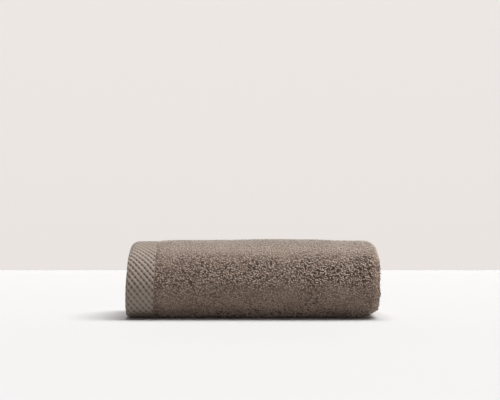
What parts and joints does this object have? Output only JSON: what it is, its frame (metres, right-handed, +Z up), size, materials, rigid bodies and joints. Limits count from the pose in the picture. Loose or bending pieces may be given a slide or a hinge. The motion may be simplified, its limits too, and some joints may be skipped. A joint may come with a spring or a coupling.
{
  "type": "rolled bath towel",
  "caption": "Terry bath towel folded lengthwise, rolled up and lying on its side, flattened by its own weight, with a woven border round one end.",
  "frame": {"origin": "on the surface the roll lies on, under the middle of its bounding box", "axes": "+X along the roll, away from the woven border; +Y towards the back; +Z up"},
  "size_m": [0.3498, 0.1792, 0.1073],
  "materials": {
    "terry_cloth": "taupe cotton terry: short looped pile, with a flat woven border of slanting cords at one end"
  },
  "bodies": {
    "root": {"towel_roll": "terry_cloth"}
  },
  "joints": []
}
